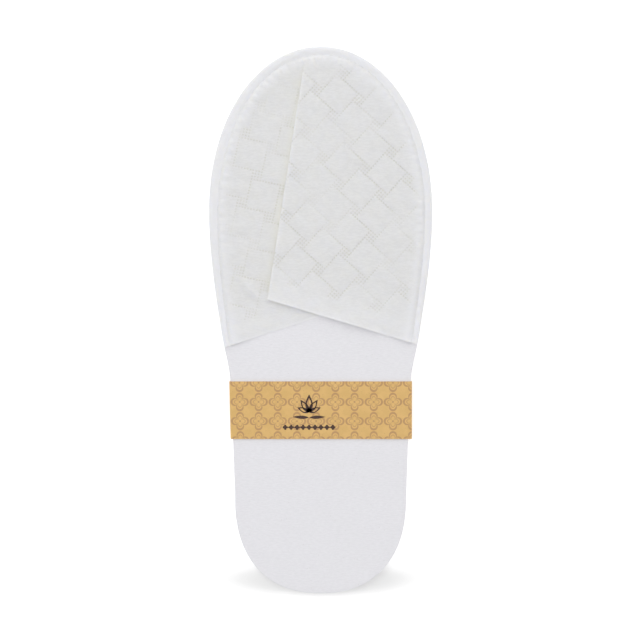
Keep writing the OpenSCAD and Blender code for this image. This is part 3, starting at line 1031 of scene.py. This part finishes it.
def add_seam_threads(side, material):
    """Needle thread in the groove on top, and bobbin thread under the sole."""
    groove = SEWN_TOP - 0.48
    sole_under = OUTSOLE_LOW[2] - MEET_Z
    run_l, run_r = run_at(THROAT_LEFT_Y, -1) + 2.0, run_at(THROAT_RIGHT_Y, 1) - 2.0
    for name, node, height, flip in (("needle_stitches", "needle_thread", groove, 1),
                                     ("bobbin_stitches", "bobbin_thread", sole_under, -1)):
        points, quads = stitch_row(run_l, run_r, 0.0)
        points[:, 2] = height + flip * np.minimum(points[:, 2], 0.28 if flip > 0 else 0.22)
        piece = make_piece(f"{side}_{name}", in_pair(side, points), quads, material)
        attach(piece, f"{side}_slipper")
        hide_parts(f"{side}_{node}")


# ---------------------------------------------------------------- paper band

# The strip: its thickness and width, how far its left side leans in, the curve of its
# folds, and half the width of its lap
PAPER_T = 0.3
STRIP_WIDTH = 30.0
BAND_SKEW = 0.7
BAND_FOLD_R = 1.1
LAP_HALF = 13.0

# Where the printed repeat starts, and the emblem's place and ink
BAND_PRINT = np.array([2.3, 4.3])
EMBLEM_X = -6.0
EMBLEM_Y = 3.2
INK_T = 0.02


def rounded_path(corners, radius, arc_steps=8):
    """A path through corners, each rounded by a curve that leaves and meets the straight
    parts smoothly: a quadratic from one side of the corner to the other."""
    corners = np.asarray(corners, float)
    path = [corners[0]]
    t = np.linspace(0, 1, arc_steps)[:, None]
    for before, corner, after in zip(corners[:-2], corners[1:-1], corners[2:]):
        start = corner + (before - corner) / np.linalg.norm(before - corner) * radius
        end = corner + (after - corner) / np.linalg.norm(after - corner) * radius
        path.extend((1 - t) ** 2 * start + 2 * t * (1 - t) * corner + t**2 * end)
    path.append(corners[-1])
    return np.array(path)


def refine(path, step):
    """The same path with points about step apart."""
    lengths = np.concatenate([[0.0], np.cumsum(np.hypot(*np.diff(path, axis=0).T))])
    extra = np.arange(0, lengths[-1], step)
    at = np.unique(np.concatenate([lengths, extra]))
    return np.stack([np.interp(at, lengths, path[:, k]) for k in (0, 1)], -1), at


def band_strip():
    """The strip's middle surface: a path once round the pair, seen along the slippers, from
    the inner end of the lap to its outer end, carried across the strip's width. The left
    side leans in by a little toward the heel, where the soles are narrower."""
    half = BAND_HIGH[0] - PAPER_T / 2
    top = BAND_HIGH[2] - MEET_Z - PAPER_T / 2
    lap = MEET_Z - BAND_LOW[2] - PAPER_T / 2
    corners = [(LAP_HALF, -top), (-half, -top), (-half, top), (half, top), (half, -top),
               (LAP_HALF + 3.0, -top), (LAP_HALF + 1.0, -lap), (-LAP_HALF, -lap)]
    path, at = refine(rounded_path(corners, BAND_FOLD_R), 1.6)
    front = path[:, 1] > top - 0.01
    at = at - np.interp(0.0, path[front, 0], at[front])
    across = np.linspace(0, 1, 25)
    y = BAND_HIGH[1] + (BAND_LOW[1] - BAND_HIGH[1]) * across
    x = path[:, 0, None] + BAND_SKEW * across[None] * smoothstep(-path[:, 0], 30.0, half)[:, None]
    z = np.broadcast_to(path[:, 1, None], x.shape)
    surface = np.stack([x, np.broadcast_to(y[None], x.shape), MEET_Z + z], -1)
    along = np.gradient(surface, axis=0)
    wide = np.gradient(surface, axis=1)
    normal = np.cross(along, wide)
    normal /= np.linalg.norm(normal, axis=-1, keepdims=True)
    middle = np.array([0.0, (BAND_HIGH[1] + BAND_LOW[1]) / 2, MEET_Z])
    if ((surface - middle) * normal).sum() < 0:
        normal = -normal
    uv = np.stack([np.broadcast_to(at[:, None], x.shape),
                   np.broadcast_to(((across - 0.5) * STRIP_WIDTH)[None], x.shape)], -1)
    return surface, normal, uv


def add_band(material, glue):
    """The printed paper band and the glue in its lap."""
    surface, normal, uv = band_strip()
    wave = soft_noise(uv[..., 0], uv[..., 1], 30.0, 41)
    surface = surface + normal * (0.04 * wave)[..., None]
    points, quads = closed_sheet(surface + normal * PAPER_T / 2, PAPER_T, normal)
    place = np.tile(uv.reshape(-1, 2), (2, 1)) * MM + BAND_PRINT * MM
    printed = np.concatenate([np.ones(uv[..., 0].size), np.zeros(uv[..., 0].size)])
    piece = make_piece("printed_band", points, quads, material, place, "strip",
                       {"printed_side": printed})
    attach(piece, "band")
    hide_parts("paper_band")
    strip = bpy.data.objects["glue_strip"]
    strip.data.materials.clear()
    strip.data.materials.append(glue)


def petal(length, width, turn, hollow, steps=26):
    """Outline band of one pointed petal: two mirrored sine-swelled sides from its root to
    its tip, with a smaller copy inside when hollow. Returns an outer and an inner loop."""
    t = np.linspace(0, 1, steps)
    half = width / 2 * np.sin(math.pi * t ** 0.8)
    right = np.stack([half, t * length], -1)
    left = np.stack([-half[-2:0:-1], t[-2:0:-1] * length], -1)
    loop = np.concatenate([right, left])
    centre = np.array([0.0, length * 0.52])
    inner = centre + (loop - centre) * hollow
    spin = np.array([[math.cos(turn), -math.sin(turn)], [math.sin(turn), math.cos(turn)]])
    return loop @ spin.T, inner @ spin.T


def ink_ring(outer, inner, x, y, z):
    """Flat ink between two loops: a closed ring of thin quads."""
    count = len(outer)
    loops = [np.column_stack([loop + np.array([x, y]), np.full(count, z + h)])
             for h in (0.0, INK_T) for loop in (outer, inner)]
    low_out, low_in, high_out, high_in = (np.arange(count) + k * count for k in range(4))
    walls = ((low_out, low_in), (low_in, high_in), (high_in, high_out), (high_out, low_out))
    faces = [np.stack([a, np.roll(a, -1), np.roll(b, -1), b], -1) for a, b in walls]
    return np.concatenate(loops), np.concatenate(faces)


def joined(parts):
    """Several sets of points and quads as one."""
    points, quads, first = [], [], 0
    for part_points, part_quads in parts:
        points.append(part_points)
        quads.append(part_quads + first)
        first += len(part_points)
    return np.concatenate(points), np.concatenate(quads)


def spot(loop, turn, x, y, z):
    """A loop filled with ink, turned and put in place."""
    spin = np.array([[math.cos(turn), -math.sin(turn)], [math.sin(turn), math.cos(turn)]])
    outer = loop @ spin.T
    return ink_ring(outer, outer.mean(0) + (outer - outer.mean(0)) * 0.03, x, y, z)


def add_emblem(material):
    """A printed water lily of open petals, over two long leaves and a row of small flowers."""
    z = BAND_HIGH[2] + 0.05
    base_y = (BAND_HIGH[1] + BAND_LOW[1]) / 2 + EMBLEM_Y - 4.3
    parts = []
    for turn, length, width in ((0.0, 9.4, 3.9), (0.60, 8.0, 3.3), (-0.60, 8.0, 3.3),
                                (1.18, 6.6, 2.7), (-1.18, 6.6, 2.7)):
        outer, inner = petal(length, width, turn, 0.58)
        parts.append(ink_ring(outer, inner, EMBLEM_X, base_y, z))
    for way in (-1, 1):
        leaf, _ = petal(8.4, 1.7, -way * 1.53, 0.5)
        parts.append(spot(leaf, 0.0, EMBLEM_X + way * 0.2, base_y - 2.7, z))
    a = np.linspace(0, 2 * math.pi, 32, endpoint=False)
    circle = np.stack([np.cos(a), np.sin(a)], -1)
    flower = circle * (0.85 + 0.5 * np.abs(np.cos(2 * a)) ** 0.7)[:, None]
    for k in range(-4, 5):
        parts.append(spot(flower, 0.0, EMBLEM_X + 3.1 * k, base_y - 7.8, z))
        if k < 4:
            parts.append(spot(circle * 0.3, 0.0, EMBLEM_X + 3.1 * (k + 0.5), base_y - 7.8, z))
    points, quads = joined(parts)
    piece = make_piece("printed_emblem", points, quads, material, smooth=False)
    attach(piece, "band")


# ---------------------------------------------------------------- floor and scene

# Half width and half length of the painted shadow under the heel, its middle's distance from the
# heel, how bright the floor is in it and away from it, and half the floor's side
PAINTED_SHADOW_HALF = (62.0, 10.5)
PAINTED_SHADOW_FROM_HEEL = 6.0
FLOOR_PAINTED_SHADOW, FLOOR_GLOW = 0.20, 0.56
FLOOR_HALF = 3000.0


def add_floor():
    """A plain pale floor that the pair lies on, with a soft oval shadow under the heel painted into its
    glow.
    """
    material, tree, shader = new_material("pale_floor", (0.70, 0.70, 0.70), 0.9, 0.1)
    grain = noise(tree, object_place(tree), 60.0, 2.0)
    tint = mix_colour(tree, grain, (0.695, 0.695, 0.695), (0.705, 0.705, 0.705))
    tree.links.new(tint, shader.inputs["Base Color"])
    shader.inputs["Emission Color"].default_value = (1.0, 1.0, 1.0, 1.0)
    split = tree.nodes.new("ShaderNodeSeparateXYZ")
    tree.links.new(object_place(tree), split.inputs[0])
    across = calc(tree, "DIVIDE", split.outputs["X"], PAINTED_SHADOW_HALF[0])
    from_middle = calc(tree, "SUBTRACT", split.outputs["Y"], HEEL_Y + PAINTED_SHADOW_FROM_HEEL)
    along = calc(tree, "DIVIDE", from_middle, PAINTED_SHADOW_HALF[1])
    outward = calc(tree, "SQRT", calc(tree, "MULTIPLY_ADD", across, across,
                                      calc(tree, "MULTIPLY", along, along)))
    # Painted shadow: the floor glows less in an oval under the heel
    glow = ramp(tree, outward, 0.5, 1.2, FLOOR_PAINTED_SHADOW, FLOOR_GLOW)
    put(tree, shader.inputs["Emission Strength"], glow)
    corners = np.array([[-1, -1, 0], [1, -1, 0], [1, 1, 0], [-1, 1, 0]]) * FLOOR_HALF
    mesh = bpy.data.meshes.new("floor")
    mesh.from_pydata((corners * MM).tolist(), [], [(0, 1, 2, 3)])
    mesh.materials.append(material)
    floor = bpy.data.objects.new("floor", mesh)
    bpy.context.scene.collection.objects.link(floor)


add_camera()
bpy.context.scene.view_settings.view_transform = "Standard"
add_world(1.05, 0.335)
# Soft boxes: place in metres, side length in metres, and power in watts
for name, place, size, power in (("overhead_light", (-0.15, 0.15, 1.7), 0.9, 11.8),
                                 ("key_light", (-0.15, 1.45, 0.85), 1.3, 9.9),
                                 ("side_fill", (0.3, -1.35, 0.8), 1.0, 3.4)):
    add_area_light(name, place, size, power)
add_floor()

MATERIALS = {
    "felt": felt_material(),
    "foam": foam_material(),
    "outsole": outsole_material(),
    "vamp": vamp_material(),
    "thread": thread_material(),
}

for side, loft in (("upper", 1.0), ("lower", 0.0)):
    add_sole(side, MATERIALS)
    add_left_panel(side, loft, MATERIALS["vamp"])
    add_pleat(side, loft, MATERIALS["vamp"])
    add_right_panel(side, loft, MATERIALS["vamp"])
    add_seam_threads(side, MATERIALS["thread"])
add_band(kraft_material(), glue_material())
add_emblem(ink_material())
